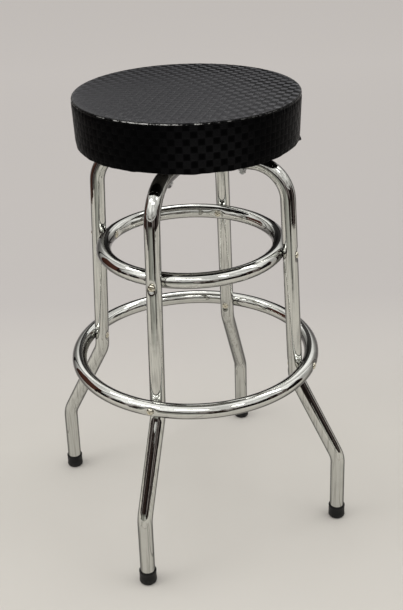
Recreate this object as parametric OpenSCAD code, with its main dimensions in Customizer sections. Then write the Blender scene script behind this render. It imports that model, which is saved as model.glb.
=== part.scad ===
// Swivel bar stool: two bent tube hoops that cross under a round padded seat,
// joined by a small upper ring inside the legs and a larger foot ring outside them.
// Z is up, the floor is at z = 0 and the seat turns about the Z axis.
// One leg points along each of -Y (front), +X (right), +Y (back) and -X (left).

/* [Seat] */
// Diameter across the seat's top rim
seat_d = 356; // [330:1:400]
// Height of the top rim above the floor
seat_h = 762; // [745:1:800]
// Height of the padded seat, from its underside to its rim
pad_h = 76; // [60:1:95]
// How much the seat's radius shrinks from rim to underside
pad_taper = 2.5; // [0.5:0.5:8]
// Rise of the top panel's middle above the rim
crown_h = 3; // [1:0.5:10]
// Radius of the rounded edge where the top panel turns down to the side band
rim_r = 4; // [2:0.5:8]
// Thickness of the vinyl cover
cover_t = 1; // [0.8:0.1:1.5]
// Width of the hem that the cover turns under the board
hem_w = 25; // [18:1:40]
// Thickness of the plywood board
board_t = 12; // [11:1:20]

/* [Staples] */
// Number of staples that hold the hem
staple_count = 24; // [12:4:36]
// Length of a staple's crown
staple_crown = 10; // [8:1:14]
// Thickness of the staple wire
staple_wire = 0.8; // [0.6:0.1:1]
// Length of a staple's legs, from the crown's face
staple_leg = 7; // [4:0.5:9]

/* [Legs] */
// Outside diameter of the tube used for legs and rings
tube_d = 25; // [22:0.1:26.5]
// Wall thickness of that tube
tube_wall = 1.2; // [1:0.1:1.6]
// Distance between the centres of opposite feet
foot_spread = 524; // [500:1:560]
// Distance between opposite ankles, where the feet turn upright
ankle_spread = 520; // [490:1:540]
// Height of the ankle bends above the floor
ankle_h = 127; // [110:1:160]
// Distance between opposite knees, where the legs kick outwards
knee_spread = 362; // [350:1:380]
// Height of the knee bends above the floor
knee_h = 279; // [255:1:285]
// Distance between opposite legs where they would meet the top run
top_spread = 323; // [312:1:336]
// Centreline radius of the bends under the seat
top_bend_r = 60; // [45:1:64]
// Centreline radius of the knee and ankle bends
leg_bend_r = 50; // [40:1:56]

/* [Rings] */
// Height of the upper ring's centreline
upper_ring_h = 505; // [480:1:540]
// Rise of the foot ring's centreline above the knees
foot_ring_rise = 25; // [24:0.5:50]
// How deep the legs are pressed in where a ring crosses them
saddle_depth = 2; // [1.2:0.1:2.6]

/* [Ring screws] */
// Diameter of the ring screws
screw_d = 6; // [5:0.5:6.5]
// Diameter of their pan heads
head_d = 11.5; // [10.5:0.5:13]
// Height of their pan heads
head_h = 3.4; // [2.5:0.1:4]
// Depth of the pressed dimple that a head or nut sits in
dimple_depth = 2.8; // [2:0.1:3.2]
// Length of that dimple along the tube
dimple_l = 25; // [22:1:30]
// Outside diameter of a sleeve nut's barrel
sleeve_d = 8; // [7.6:0.1:8.6]
// Length of a sleeve nut's barrel
sleeve_l = 11; // [9:0.5:14]
// Height of a sleeve nut's flange
sleeve_flange_h = 2.4; // [1.8:0.1:3]

/* [Foot caps] */
// Height of a rubber foot cap
cap_h = 24; // [18:1:32]
// Side wall of a foot cap
cap_wall = 2; // [1.5:0.1:3]
// Thickness of a foot cap's sole
cap_sole = 5; // [3:0.5:8]
// Rounding of the sole's edge
cap_round = 2.5; // [1:0.5:4]

/* [Swivel] */
// Height of the swivel from the underside of one plate to the top of the other
swivel_h = 18.8; // [18:0.1:22]
// Side of the square swivel plates
plate_side = 150; // [144:1:156]
// Corner rounding of the plates
plate_corner_r = 12; // [6:1:16]
// Sheet thickness of the plates
plate_t = 2; // [1.6:0.1:2.4]
// Distance between the plates' corner holes, along a side
plate_hole_pitch = 127; // [120:1:130]
// Outside diameter of the dish pressed into each plate
dish_d = 120; // [114:1:128]
// Depth of that dish
dish_rise = 5; // [4.6:0.1:5.4]
// Radial width of the dish's sloping wall
dish_slope = 4; // [3:0.5:5]
// Diameter of the bearing balls
ball_d = 6.35; // [6:0.05:7]
// Diameter of the circle that the balls run on
ball_circle_d = 88; // [76:1:96]
// Number of bearing balls
ball_count = 24; // [12:1:28]
// Thickness of the ball cage
cage_t = 1.6; // [1:0.1:2]
// Radial width of the ball cage
cage_w = 10; // [9:0.5:12]
// Diameter of the king pin that holds the plates together
pin_d = 10; // [8:0.5:12]
// Diameter of the king pin's head
pin_head_d = 20; // [16:1:26]
// Height of the king pin's head
pin_head_h = 3.8; // [2.5:0.1:4]
// Height of the king pin's nut
pin_nut_h = 3.9; // [3:0.1:4]
// Distance across the flats of the king pin's nut
pin_nut_af = 17; // [15:0.5:19]

/* [Swivel fasteners] */
// Diameter of the bolts that hold the lower plate to the legs
bolt_d = 6; // [5:0.5:6]
// Diameter of their button heads
bolt_head_d = 12; // [10:0.5:14]
// Height of their button heads
bolt_head_h = 3.2; // [2:0.1:3.6]
// Height of the nuts under the legs
bolt_nut_h = 5; // [4:0.5:6]
// Distance across the flats of those nuts
bolt_nut_af = 10; // [9:0.5:11]
// Thread that shows below a nut
bolt_tail = 2; // [1:0.5:4]
// Diameter of the saddle washers between tube and nut
washer_d = 14; // [13:0.5:15]
// Thickness of a saddle washer at its middle
washer_t = 1.8; // [1.2:0.1:3]
// Diameter of the screws that hold the seat to the upper plate
seat_screw_d = 5; // [4:0.5:6]
// Diameter of their pan heads
seat_screw_head_d = 10; // [8:0.5:12]
// Height of their pan heads
seat_screw_head_h = 3.2; // [2:0.1:3.6]
// Flange diameter of the tee nuts in the board
tee_flange_d = 19; // [16:1:22]
// Flange thickness of the tee nuts
tee_flange_t = 1.4; // [1:0.1:2]
// Barrel diameter of the tee nuts
tee_barrel_d = 7.6; // [7:0.1:9]
// Barrel length of the tee nuts
tee_barrel_l = 8; // [6:0.5:9]

/* [Clearances] */
// Gap between neighbours that are pressed or pushed together
seat_gap = 0.1; // [0.05:0.05:0.15]
// Gap between a ring and the dent it lies in
saddle_gap = 0.25; // [0.2:0.05:0.3]
// Radial gap of a screw in its drilled hole
hole_gap = 0.2; // [0.15:0.05:0.4]
// Radial gap of a thread in its nut
thread_gap = 0.04; // [0.02:0.01:0.08]
// Radial running gap of the king pin and the balls
run_gap = 0.05; // [0.03:0.01:0.08]
// Gap between the two halves of the hoops' crossing
cross_gap = 0.2; // [0.1:0.05:0.4]
// How much fatter a bend is than the straight tube that runs into it
bend_swell = 0.1; // [0.05:0.01:0.15]

/* [Hidden] */
$fn = 96;

over = 1;                                   // how far a cut runs past a face
lap = 0.3;                                  // how far a straight tube runs into a bend
tube_r = tube_d / 2;
bore_r = tube_r - tube_wall;

// Heights, from the rim down
board_z = seat_h - pad_h + cover_t;         // underside of the board
hem_z = board_z - cover_t;                  // underside of the turned hem
board_top = board_z + board_t;
lower_plate_z = board_z - swivel_h;
run_h = lower_plate_z - seat_gap - tube_r;  // centreline of the hoops' top runs

// Leg centreline, as [distance from the axis, height]
leg_dir = [top_spread - knee_spread, 2 * (run_h - knee_h)] / 2;
leg_lean = atan2(-leg_dir[0], leg_dir[1]);
foot_lean = atan2(foot_spread - ankle_spread, 2 * ankle_h);
foot_end = [foot_spread / 2 - cap_sole * sin(foot_lean), cap_sole * cos(foot_lean)];
function leg_r(z) = knee_spread / 2 + leg_dir[0] * (z - knee_h) / leg_dir[1];
half_path = [
    foot_end, [ankle_spread / 2, ankle_h], [knee_spread / 2, knee_h], [top_spread / 2, run_h]
];
half_bends = [0, leg_bend_r, leg_bend_r, top_bend_r];
hoop_path = concat(half_path, [for (i = [3:-1:0]) [-half_path[i][0], half_path[i][1]]]);
hoop_bends = concat(half_bends, [for (i = [3:-1:0]) half_bends[i]]);

// Rings lie in the dents of the legs
ring_step = (tube_d - saddle_depth) / cos(leg_lean);
foot_ring_h = knee_h + foot_ring_rise;
upper_leg_r = leg_r(upper_ring_h);
foot_leg_r = leg_r(foot_ring_h);
upper_ring_r = upper_leg_r - ring_step;
foot_ring_r = foot_leg_r + ring_step;
lean_drop = tube_r / cos(leg_lean);         // half width of a leaning leg, level

// Dimples
spot_margin = 0.6;                          // level floor around a seated head
spot_step = 0.15;                           // how far that floor lies below the dimple's trough
screw_short = 2.5;                          // how far a screw stops short of the nut's flange
sleeve_web = 1;                             // closed end of a sleeve nut
dimple_r = pow(dimple_l / 2, 2) / (2 * dimple_depth);
spot_r = head_d / 2 + spot_margin;
leg_seat = lean_drop - dimple_depth;        // leg's centreline to its dimple's floor
ring_seat = tube_r - dimple_depth;
screw_len = ring_step + leg_seat + ring_seat - screw_short;

// Swivel
bolt_r = plate_hole_pitch / sqrt(2);        // corner holes' distance from the axis
disc_z = lower_plate_z + dish_rise + plate_t;
upper_disc_z = board_z - dish_rise - plate_t;
ball_z = (disc_z + upper_disc_z) / 2;
sheet_step = plate_t * tan(atan2(dish_rise, dish_slope) / 2);
dish_flat = 3;                              // level ring around a dish
nut_gap = 0.3;                              // play of the king pin under the lower plate
pin_tail = 0.2;                             // thread that shows below the king pin's nut
pin_nut_z = disc_z - plate_t - nut_gap - pin_nut_h;
pin_end = pin_nut_z - pin_tail;
nut_top = run_h - tube_r - seat_gap - washer_t;   // under the saddle washers

// Seat
seat_r = seat_d / 2;
under_r = seat_r - pad_taper;
band_top = seat_h - rim_r;                  // the seam between panel and band
crown_r = (pow(seat_r - rim_r, 2) + pow(crown_h, 2)) / (2 * crown_h);
board_r = under_r - cover_t - seat_gap;
staple_inset = 3;                           // from the hem's middle to the staples
staple_r = under_r - hem_w / 2 - staple_inset;
tee_z = board_top - tee_flange_t;
seat_screw_short = 1;                       // board left above the seat screws

chrome = [0.78, 0.79, 0.8];
zinc = [0.75, 0.72, 0.6];
vinyl = [0.05, 0.05, 0.055];

// ---------- shared shapes ----------

function unit(v) = v / norm(v);
function turn_of(a, b, c) = let (u = unit(b - a), v = unit(c - b))
    atan2(u[0] * v[1] - u[1] * v[0], u * v);
function trim_at(path, bends, i) = bends[i] == 0 ? 0
    : bends[i] * tan(abs(turn_of(path[i - 1], path[i], path[i + 1])) / 2);

// Places its children, drawn along Z from 0 to the length, on segment i of a path in the XZ plane.
// The segment runs lap into the bends at its ends. $length is its length.
module on_segment(path, bends, i) {
    u = unit(path[i + 1] - path[i]);
    start = i == 0 ? 0 : trim_at(path, bends, i) - lap;
    end = i == len(path) - 2 ? 0 : trim_at(path, bends, i + 1) - lap;
    a = path[i] + u * start;
    $length = norm(path[i + 1] - path[i]) - start - end;
    translate([a[0], 0, a[1]]) rotate([0, atan2(u[0], u[1]), 0]) children();
}

// The tube's true arc at vertex i of a path in the XZ plane.
module tube_bend(path, bends, i) {
    u = unit(path[i] - path[i - 1]);
    turn = turn_of(path[i - 1], path[i], path[i + 1]);
    side = sign(turn) * [-u[1], u[0]];
    centre = path[i] - u * trim_at(path, bends, i) + side * bends[i];
    start = atan2(-side[1], -side[0]);
    translate([centre[0], 0, centre[1]]) rotate([90, 0, 0]) rotate([0, 0, min(start, start + turn)])
        rotate_extrude(angle = abs(turn)) translate([bends[i], 0]) difference() {
            circle(r = tube_r + bend_swell);
            circle(r = bore_r - bend_swell);
        }
}

module straight_tube(length) {
    difference() {
        cylinder(r = tube_r, h = length);
        translate([0, 0, -over]) cylinder(r = bore_r, h = length + 2 * over);
    }
}

// A pressed dimple whose floor faces +X at x = floor_x. The tube runs along Z.
// grow moves every face of the cutter out by one wall.
module dimple_cut(floor_x, grow = 0) {
    translate([floor_x + spot_step + dimple_r, 0, 0]) rotate([90, 0, 0])
        cylinder(r = dimple_r + grow, h = tube_d + 2 * over, center = true);
    translate([floor_x - grow, 0, 0]) rotate([0, 90, 0])
        cylinder(r = spot_r + grow, h = dimple_depth + grow + over);
}

// A drilled hole along X, from x0 to x1.
module drill(r, x0, x1) {
    translate([x0, 0, 0]) rotate([0, 90, 0]) cylinder(r = r, h = x1 - x0);
}

module four_ways() {
    for (a = [0:90:270]) rotate([0, 0, a]) children();
}

// A pan head on the XY plane, rising along +Z, with a cross recess.
module pan_head(d, h) {
    edge = 0.45 * h;                        // height of the head's upright rim
    dome = (d - h) / 2;                     // radius of its level top
    slot = [0.48 * d, 0.1 * d, 0.45 * h];   // one arm of the recess
    difference() {
        rotate_extrude() {
            square([dome, h]);
            square([d / 2, edge]);
            translate([dome, edge]) intersection() {
                scale_arc(d / 2 - dome, h - edge);
                square([d / 2, h]);
            }
        }
        for (a = [0, 90]) rotate([0, 0, a])
            translate([-slot[0] / 2, -slot[1] / 2, h - slot[2]]) cube([slot[0], slot[1], h]);
    }
}

// A quarter round of width w and height h, drawn as a many-sided outline.
module scale_arc(w, h) {
    polygon(concat([[0, 0]], [for (a = [0:15:90]) [w * cos(a), h * sin(a)]]));
}

// A hexagon nut from z = 0 up, with a round bore.
module hex_nut(af, h, bore) {
    corner = 0.58 * af;                     // just past the nut's corners
    bevel = 0.12 * h;
    difference() {
        intersection() {
            cylinder(r = af / sqrt(3), h = h, $fn = 6);
            rotate_extrude() polygon([
                [0, 0], [af / 2, 0], [corner, bevel], [corner, h - bevel], [af / 2, h], [0, h]
            ]);
        }
        translate([0, 0, -over]) cylinder(r = bore, h = h + 2 * over);
    }
}

// ---------- frame ----------

// What is pressed into an upright: a dimple for each ring screw and a dent for each ring.
module upright_presses(grow = 0) {
    translate([upper_leg_r, 0, upper_ring_h]) dimple_cut(leg_seat, grow);
    translate([foot_leg_r, 0, foot_ring_h]) mirror([1, 0, 0]) dimple_cut(leg_seat, grow);
    for (ring = [[upper_ring_r, upper_ring_h], [foot_ring_r, foot_ring_h]])
        translate([ring[0], 0, ring[1]]) rotate([90, 0, 0])
            cylinder(r = tube_r + saddle_gap + grow, h = tube_d + 2 * over, center = true);
}

// The straight part of a leg between knee and top bend, with its presses and drilled holes.
module upright() {
    difference() {
        on_segment(hoop_path, hoop_bends, 2) cylinder(r = tube_r, h = $length);
        upright_presses();
        difference() {
            on_segment(hoop_path, hoop_bends, 2) translate([0, 0, -over])
                cylinder(r = bore_r, h = $length + 2 * over);
            upright_presses(tube_wall);
        }
        translate([upper_leg_r, 0, upper_ring_h]) drill(screw_d / 2 + hole_gap, -tube_d, tube_d);
        translate([foot_leg_r, 0, foot_ring_h]) {
            drill(screw_d / 2 + hole_gap, 0, tube_d);
            drill(sleeve_d / 2 + hole_gap, -tube_d, 0);
        }
    }
}

// Half of the crossing: the room that the other hoop's tube takes, above or below the centreline.
module crossing_cut(upper_half, grow = 0) {
    half = tube_r + cross_gap + grow;
    tall = tube_r + over;
    z0 = upper_half ? -tall : -cross_gap / 2 - grow;
    z1 = upper_half ? cross_gap / 2 + grow : tall;
    translate([-half, -tall, z0]) cube([2 * half, 2 * tall, z1 - z0]);
}

// The level run under the seat.
module top_run(upper_half) {
    half_l = top_spread / 2 - trim_at(hoop_path, hoop_bends, 3) + lap;
    translate([0, 0, run_h]) difference() {
        rotate([0, 90, 0]) cylinder(r = tube_r, h = 2 * half_l, center = true);
        crossing_cut(upper_half);
        difference() {
            rotate([0, 90, 0]) cylinder(r = bore_r, h = 2 * half_l + 2 * over, center = true);
            crossing_cut(upper_half, tube_wall);
        }
        for (side = [-1, 1])
            translate([side * bolt_r, 0, -tube_d]) cylinder(r = bolt_d / 2 + hole_gap, h = 2 * tube_d);
    }
}

module hoop(upper_half) {
    for (a = [0, 180]) rotate([0, 0, a]) {
        for (i = [0, 1]) on_segment(hoop_path, hoop_bends, i) straight_tube($length);
        upright();
        for (i = [1:3]) tube_bend(hoop_path, hoop_bends, i);
    }
    top_run(upper_half);
}

module hoop_front_back() {
    color(chrome) rotate([0, 0, 90]) hoop(true);
}

module hoop_left_right() {
    color(chrome) hoop(false);
}

// A closed ring at radius ring_r. head_side is +1 where the dimples face out.
module ring(ring_r, ring_h, head_side) {
    translate([0, 0, ring_h]) difference() {
        rotate_extrude() translate([ring_r, 0]) circle(r = tube_r);
        ring_dimples(ring_r, head_side);
        difference() {
            rotate_extrude() translate([ring_r, 0]) circle(r = bore_r);
            ring_dimples(ring_r, head_side, tube_wall);
        }
        four_ways() translate([ring_r, 0, 0])
            if (head_side > 0) {
                drill(screw_d / 2 + hole_gap, -tube_d, tube_d);
            } else {
                drill(screw_d / 2 + hole_gap, 0, tube_d);
                drill(sleeve_d / 2 + hole_gap, -tube_d, 0);
            }
    }
}

module ring_dimples(ring_r, head_side, grow = 0) {
    four_ways() translate([ring_r, 0, 0]) rotate([0, 0, head_side > 0 ? 0 : 180]) rotate([90, 0, 0])
        dimple_cut(ring_seat, grow);
}

module upper_ring() {
    color(chrome) ring(upper_ring_r, upper_ring_h, -1);
}

module foot_ring() {
    color(chrome) ring(foot_ring_r, foot_ring_h, 1);
}

// One screw along -X, its head's seat at x = 0.
module ring_screw() {
    rotate([0, 90, 0]) pan_head(head_d, head_h);
    rotate([0, -90, 0]) cylinder(d = screw_d, h = screw_len);
}

// One sleeve nut along +X, its flange's seat at x = 0.
module sleeve_nut() {
    difference() {
        union() {
            rotate([0, -90, 0]) pan_head(head_d, sleeve_flange_h);
            rotate([0, 90, 0]) cylinder(d = sleeve_d, h = sleeve_l);
        }
        drill(screw_d / 2 + thread_gap, sleeve_web, sleeve_l + over);
    }
}

module upper_ring_screws() {
    color(zinc) four_ways() translate([upper_leg_r + leg_seat, 0, upper_ring_h]) ring_screw();
}

module upper_ring_sleeve_nuts() {
    color(zinc) four_ways() translate([upper_ring_r - ring_seat, 0, upper_ring_h]) sleeve_nut();
}

module foot_ring_screws() {
    color(zinc) four_ways() translate([foot_ring_r + ring_seat, 0, foot_ring_h]) ring_screw();
}

module foot_ring_sleeve_nuts() {
    color(zinc) four_ways() translate([foot_leg_r - leg_seat, 0, foot_ring_h]) sleeve_nut();
}

// A rubber cup on the tube's end, its sole trimmed level with the floor.
module foot_cap(direction) {
    cap_r = tube_r + seat_gap + cap_wall;
    lip = cap_wall / 2;
    low = -cap_r * sin(foot_lean);
    color([0.06, 0.06, 0.06]) rotate([0, 0, direction]) intersection() {
        translate([foot_spread / 2, 0, 0]) rotate([0, -foot_lean, 0]) difference() {
            rotate_extrude() {
                translate([0, low]) square([cap_r - cap_round, cap_h - low]);
                translate([0, low + cap_round]) square([cap_r, cap_h - low - cap_round - lip]);
                translate([cap_r - cap_round, low + cap_round]) circle(r = cap_round);
                translate([0, cap_h - 2 * lip]) square([cap_r - lip, 2 * lip]);
                translate([cap_r - lip, cap_h - lip]) circle(r = lip);
            }
            translate([0, 0, cap_sole]) cylinder(r = tube_r + seat_gap, h = cap_h);
        }
        translate([0, -tube_d, 0]) cube([foot_spread, 2 * tube_d, 2 * cap_h]);
    }
}

module foot_cap_front() { foot_cap(-90); }
module foot_cap_right() { foot_cap(0); }
module foot_cap_back() { foot_cap(90); }
module foot_cap_left() { foot_cap(180); }

// ---------- swivel ----------

// One pressed plate, dished upwards, with its flat underside at z = 0.
module swivel_plate(hole_r, pin_hole_r) {
    inner = dish_d / 2 - dish_slope;
    flat_r = dish_d / 2 + dish_flat;
    side = plate_side / 2;
    difference() {
        union() {
            difference() {
                linear_extrude(plate_t) union() {
                    square([plate_side, plate_side - 2 * plate_corner_r], center = true);
                    square([plate_side - 2 * plate_corner_r, plate_side], center = true);
                    for (x = [-1, 1], y = [-1, 1])
                        translate([x, y] * (side - plate_corner_r)) circle(r = plate_corner_r);
                }
                translate([0, 0, -over]) cylinder(r = flat_r, h = plate_t + 2 * over);
                for (x = [-1, 1], y = [-1, 1])
                    translate([x * plate_hole_pitch / 2, y * plate_hole_pitch / 2, -over])
                        cylinder(r = hole_r, h = plate_t + 2 * over);
            }
            rotate_extrude() polygon([
                [pin_hole_r, dish_rise], [inner, dish_rise], [dish_d / 2, 0], [flat_r, 0],
                [flat_r, plate_t], [dish_d / 2 + sheet_step, plate_t],
                [inner + sheet_step, dish_rise + plate_t], [pin_hole_r, dish_rise + plate_t]
            ]);
        }
        translate([0, 0, ball_z - lower_plate_z]) rotate_extrude()
            translate([ball_circle_d / 2, 0]) circle(r = ball_d / 2 + run_gap);
    }
}

module swivel_lower_plate() {
    color("silver") translate([0, 0, lower_plate_z]) rotate([0, 0, 45])
        swivel_plate(bolt_d / 2 + hole_gap, pin_d / 2 + run_gap);
}

module swivel_upper_plate() {
    color("silver") translate([0, 0, board_z]) rotate([180, 0, 45])
        swivel_plate(seat_screw_d / 2 + hole_gap, pin_d / 2 + run_gap);
}

module ball_places() {
    for (i = [0:ball_count - 1]) rotate([0, 0, i * 360 / ball_count])
        translate([ball_circle_d / 2, 0, ball_z]) children();
}

module bearing_balls() {
    color("lightgray") ball_places() sphere(d = ball_d);
}

module ball_cage() {
    color("goldenrod") difference() {
        translate([0, 0, ball_z - cage_t / 2]) difference() {
            cylinder(r = ball_circle_d / 2 + cage_w / 2, h = cage_t);
            translate([0, 0, -over]) cylinder(r = ball_circle_d / 2 - cage_w / 2, h = cage_t + 2 * over);
        }
        ball_places() cylinder(r = ball_d / 2 + run_gap, h = 2 * cage_t, center = true);
    }
}

module king_pin() {
    color("silver") {
        translate([0, 0, upper_disc_z + plate_t]) pan_head(pin_head_d, pin_head_h);
        translate([0, 0, pin_end]) cylinder(d = pin_d, h = upper_disc_z + plate_t - pin_end);
    }
}

module king_pin_nut() {
    color("silver") translate([0, 0, pin_nut_z])
        hex_nut(pin_nut_af, pin_nut_h, pin_d / 2 + thread_gap);
}

module plate_bolts() {
    tail = nut_top - bolt_nut_h - bolt_tail;
    color("silver") four_ways() translate([bolt_r, 0, 0]) {
        translate([0, 0, lower_plate_z + plate_t]) pan_head(bolt_head_d, bolt_head_h);
        translate([0, 0, tail]) cylinder(d = bolt_d, h = lower_plate_z + plate_t - tail);
    }
}

module saddle_washers() {
    rise = tube_r - sqrt(pow(tube_r, 2) - pow(washer_d / 2, 2));
    color("silver") four_ways() difference() {
        translate([bolt_r, 0, nut_top]) cylinder(d = washer_d, h = washer_t + rise);
        translate([bolt_r, 0, nut_top - over]) cylinder(r = bolt_d / 2 + hole_gap, h = washer_t + tube_r);
        translate([bolt_r - washer_d, 0, run_h]) rotate([0, 90, 0])
            cylinder(r = tube_r + seat_gap, h = 2 * washer_d);
    }
}

module plate_nuts() {
    color("silver") four_ways() translate([bolt_r, 0, nut_top - bolt_nut_h])
        hex_nut(bolt_nut_af, bolt_nut_h, bolt_d / 2 + thread_gap);
}

module seat_screws() {
    color("silver") four_ways() translate([bolt_r, 0, board_z - plate_t]) {
        mirror([0, 0, 1]) pan_head(seat_screw_head_d, seat_screw_head_h);
        cylinder(d = seat_screw_d, h = plate_t + board_t - seat_screw_short);
    }
}

module tee_nuts() {
    color("silver") four_ways() translate([bolt_r, 0, 0]) difference() {
        union() {
            translate([0, 0, tee_z]) cylinder(d = tee_flange_d, h = tee_flange_t);
            translate([0, 0, tee_z - tee_barrel_l]) cylinder(d = tee_barrel_d, h = tee_barrel_l);
        }
        translate([0, 0, tee_z - tee_barrel_l - over])
            cylinder(r = seat_screw_d / 2 + thread_gap, h = board_t);
    }
}

// ---------- seat ----------

module staple_places() {
    for (i = [0:staple_count - 1]) rotate([0, 0, (i + 0.5) * 360 / staple_count])
        translate([staple_r, 0, 0]) children();
}

// A staple's two legs, or with a gap the slots that they are driven into.
module staple_legs(gap = 0) {
    wide = staple_wire + 2 * gap;
    for (side = [-1, 1])
        translate([-wide / 2, side * (staple_crown - staple_wire) / 2 - wide / 2, hem_z - gap])
            cube([wide, wide, staple_leg + 2 * gap]);
}

module staples() {
    color("gray") staple_places() union() {
        staple_legs();
        translate([-staple_wire / 2, -staple_crown / 2, hem_z - staple_wire])
            cube([staple_wire, staple_crown, staple_wire]);
    }
}

module seat_board() {
    color("burlywood") difference() {
        translate([0, 0, board_z]) cylinder(r = board_r, h = board_t);
        staple_places() staple_legs(seat_gap);
        four_ways() translate([bolt_r, 0, 0]) {
            translate([0, 0, tee_z - seat_gap]) cylinder(r = tee_flange_d / 2 + hole_gap, h = board_t);
            translate([0, 0, board_z - over]) cylinder(r = tee_barrel_d / 2 + seat_gap, h = board_t);
        }
    }
}

function reverse(list) = [for (i = [len(list) - 1:-1:0]) list[i]];

// Outline points of the crowned top, from the middle out, lowered by drop.
function crown_points(drop) = [
    for (i = [0:8]) let (r = i / 8 * (seat_r - rim_r))
        [r, seat_h + sqrt(pow(crown_r, 2) - pow(r, 2)) - (crown_r - crown_h) - drop]
];
function rim_points(inset) = [
    for (a = [75:-15:0])
        [seat_r - rim_r + (rim_r - inset) * cos(a), seat_h - rim_r + (rim_r - inset) * sin(a)]
];

module seat_foam() {
    inset = cover_t + seat_gap;
    color("khaki") rotate_extrude() polygon(concat(
        [[0, board_top]], crown_points(inset), rim_points(inset), [[under_r - inset, board_top]]
    ));
}

module cover_top_panel() {
    color(vinyl) rotate_extrude() polygon(concat(
        crown_points(0), rim_points(0), reverse(concat(crown_points(cover_t), rim_points(cover_t)))
    ));
}

module cover_side_band() {
    color(vinyl) difference() {
        rotate_extrude() polygon([
            [seat_r - cover_t, band_top - seat_gap], [seat_r, band_top - seat_gap],
            [under_r, hem_z], [under_r - hem_w, hem_z], [under_r - hem_w, board_z],
            [under_r - cover_t, board_z]
        ]);
        staple_places() staple_legs(seat_gap);
    }
}

hoop_front_back();
hoop_left_right();
upper_ring();
foot_ring();
upper_ring_screws();
upper_ring_sleeve_nuts();
foot_ring_screws();
foot_ring_sleeve_nuts();
foot_cap_front();
foot_cap_right();
foot_cap_back();
foot_cap_left();
swivel_lower_plate();
swivel_upper_plate();
bearing_balls();
ball_cage();
king_pin();
king_pin_nut();
plate_bolts();
saddle_washers();
plate_nuts();
seat_screws();
tee_nuts();
seat_board();
seat_foam();
cover_top_panel();
cover_side_band();
staples();
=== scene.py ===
"""Bar stool with a footrest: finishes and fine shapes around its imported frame."""

import math

import bpy
import numpy as np
from bpy.props import (
    FloatProperty,
    FloatVectorProperty,
    IntProperty,
    PointerProperty,
)
from mathutils import Matrix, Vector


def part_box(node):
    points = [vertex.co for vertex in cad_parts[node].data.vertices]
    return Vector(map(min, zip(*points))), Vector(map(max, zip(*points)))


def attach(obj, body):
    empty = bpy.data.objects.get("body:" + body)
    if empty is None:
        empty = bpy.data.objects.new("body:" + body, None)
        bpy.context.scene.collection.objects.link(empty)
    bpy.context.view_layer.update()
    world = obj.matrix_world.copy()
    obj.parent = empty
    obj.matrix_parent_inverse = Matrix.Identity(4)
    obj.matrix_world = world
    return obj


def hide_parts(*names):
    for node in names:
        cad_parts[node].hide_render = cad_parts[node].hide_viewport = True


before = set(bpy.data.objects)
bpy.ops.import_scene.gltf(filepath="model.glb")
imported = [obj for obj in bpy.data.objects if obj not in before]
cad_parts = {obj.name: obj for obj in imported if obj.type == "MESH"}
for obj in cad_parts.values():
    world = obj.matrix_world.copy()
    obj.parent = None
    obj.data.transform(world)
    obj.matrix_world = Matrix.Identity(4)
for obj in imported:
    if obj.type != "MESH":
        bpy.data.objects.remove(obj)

bl_info = {
    "name": "Swivel Bar Stool",
    "version": (1, 0, 0),
    "blender": (4, 5, 0),
    "location": "View3D > Sidebar > Stool",
    "description": "A chromed swivel bar stool with a footrest ring and a padded round seat",
    "category": "Object",
}

MM = 0.001
QUARTER_TURN = math.pi / 2
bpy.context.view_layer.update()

# The camera stands at a turn about the stool and is then pitched, rolled and yawed.
CAMERA_TURN = math.radians(20.65)
CAMERA_AWAY, CAMERA_HEIGHT = 1.5088, 1.1566
CAMERA_PITCH, CAMERA_ROLL, CAMERA_YAW = (math.radians(a) for a in (-26.98, -1.82, 0.50))


# ---------- sizes and colours ----------


def length(name, description, default, low=0.0001, high=5.0):
    return FloatProperty(
        name=name,
        description=description,
        default=default,
        min=low,
        max=high,
        precision=4,
        subtype="DISTANCE",
        unit="LENGTH",
    )


def colour(name, description, default):
    return FloatVectorProperty(
        name=name,
        description=description,
        default=default,
        size=3,
        min=0.0,
        max=1.0,
        subtype="COLOR",
    )


class StoolFrameSizes(bpy.types.PropertyGroup):
    """Sizes of the chromed tubes."""

    tube_diameter: length("Tube diameter", "Outside diameter of legs and rings", 0.025)
    foot_spread: length("Foot spread", "Distance between opposite feet", 0.524)
    ankle_spread: length("Ankle spread", "Distance between opposite ankles", 0.520)
    ankle_height: length("Ankle height", "Height of the ankle bends", 0.127)
    knee_spread: length("Knee spread", "Distance between opposite knees", 0.362)
    knee_height: length("Knee height", "Height of the knee bends", 0.279)
    top_spread: length("Top spread", "Distance between opposite legs at the top run", 0.323)
    run_height: length("Run height", "Height of the level run under the seat", 0.6556)
    leg_bend: length("Leg bend", "Centreline radius of knees and ankles", 0.050)
    top_bend: length("Top bend", "Centreline radius of the bends under the seat", 0.060)
    upper_ring_height: length("Upper ring height", "Height of the upper ring", 0.505)
    foot_ring_height: length("Foot ring height", "Height of the foot ring", 0.304)
    cap_sole: length("Cap sole", "Thickness of a foot cap's sole", 0.005)
    cap_height: length("Cap height", "Height of a foot cap", 0.024)
    dimple_depth: length("Dimple depth", "Depth of the dimple under a screw head", 0.0028)
    dimple_length: length("Dimple length", "Length of that dimple along the tube", 0.025)
    head_diameter: length("Head diameter", "Diameter of the ring screws' heads", 0.0115)
    saddle_gap: length("Saddle gap", "Gap between a ring and its dent", 0.00025)


class StoolSeatSizes(bpy.types.PropertyGroup):
    """Sizes of the padded seat and its embossed cover."""

    square: length("Square", "Side of one embossed square", 0.01085)
    turn: FloatProperty(
        name="Turn",
        description="Turn of the embossed squares against the legs",
        default=math.radians(3.5),
        subtype="ANGLE",
        unit="ROTATION",
    )
    ribs: IntProperty(name="Ribs", description="Ribs across one square", default=5, min=2, max=9)
    emboss: length("Emboss", "Height of an embossed square's middle", 0.00035)
    rib_height: length("Rib height", "Height of one rib", 0.00015, low=0.00001)
    roll: length("Roll", "Height of the rolled edge above the seam", 0.0052)
    puckers: length("Puckers", "Depth of the gathers along the seam", 0.0006)


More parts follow.
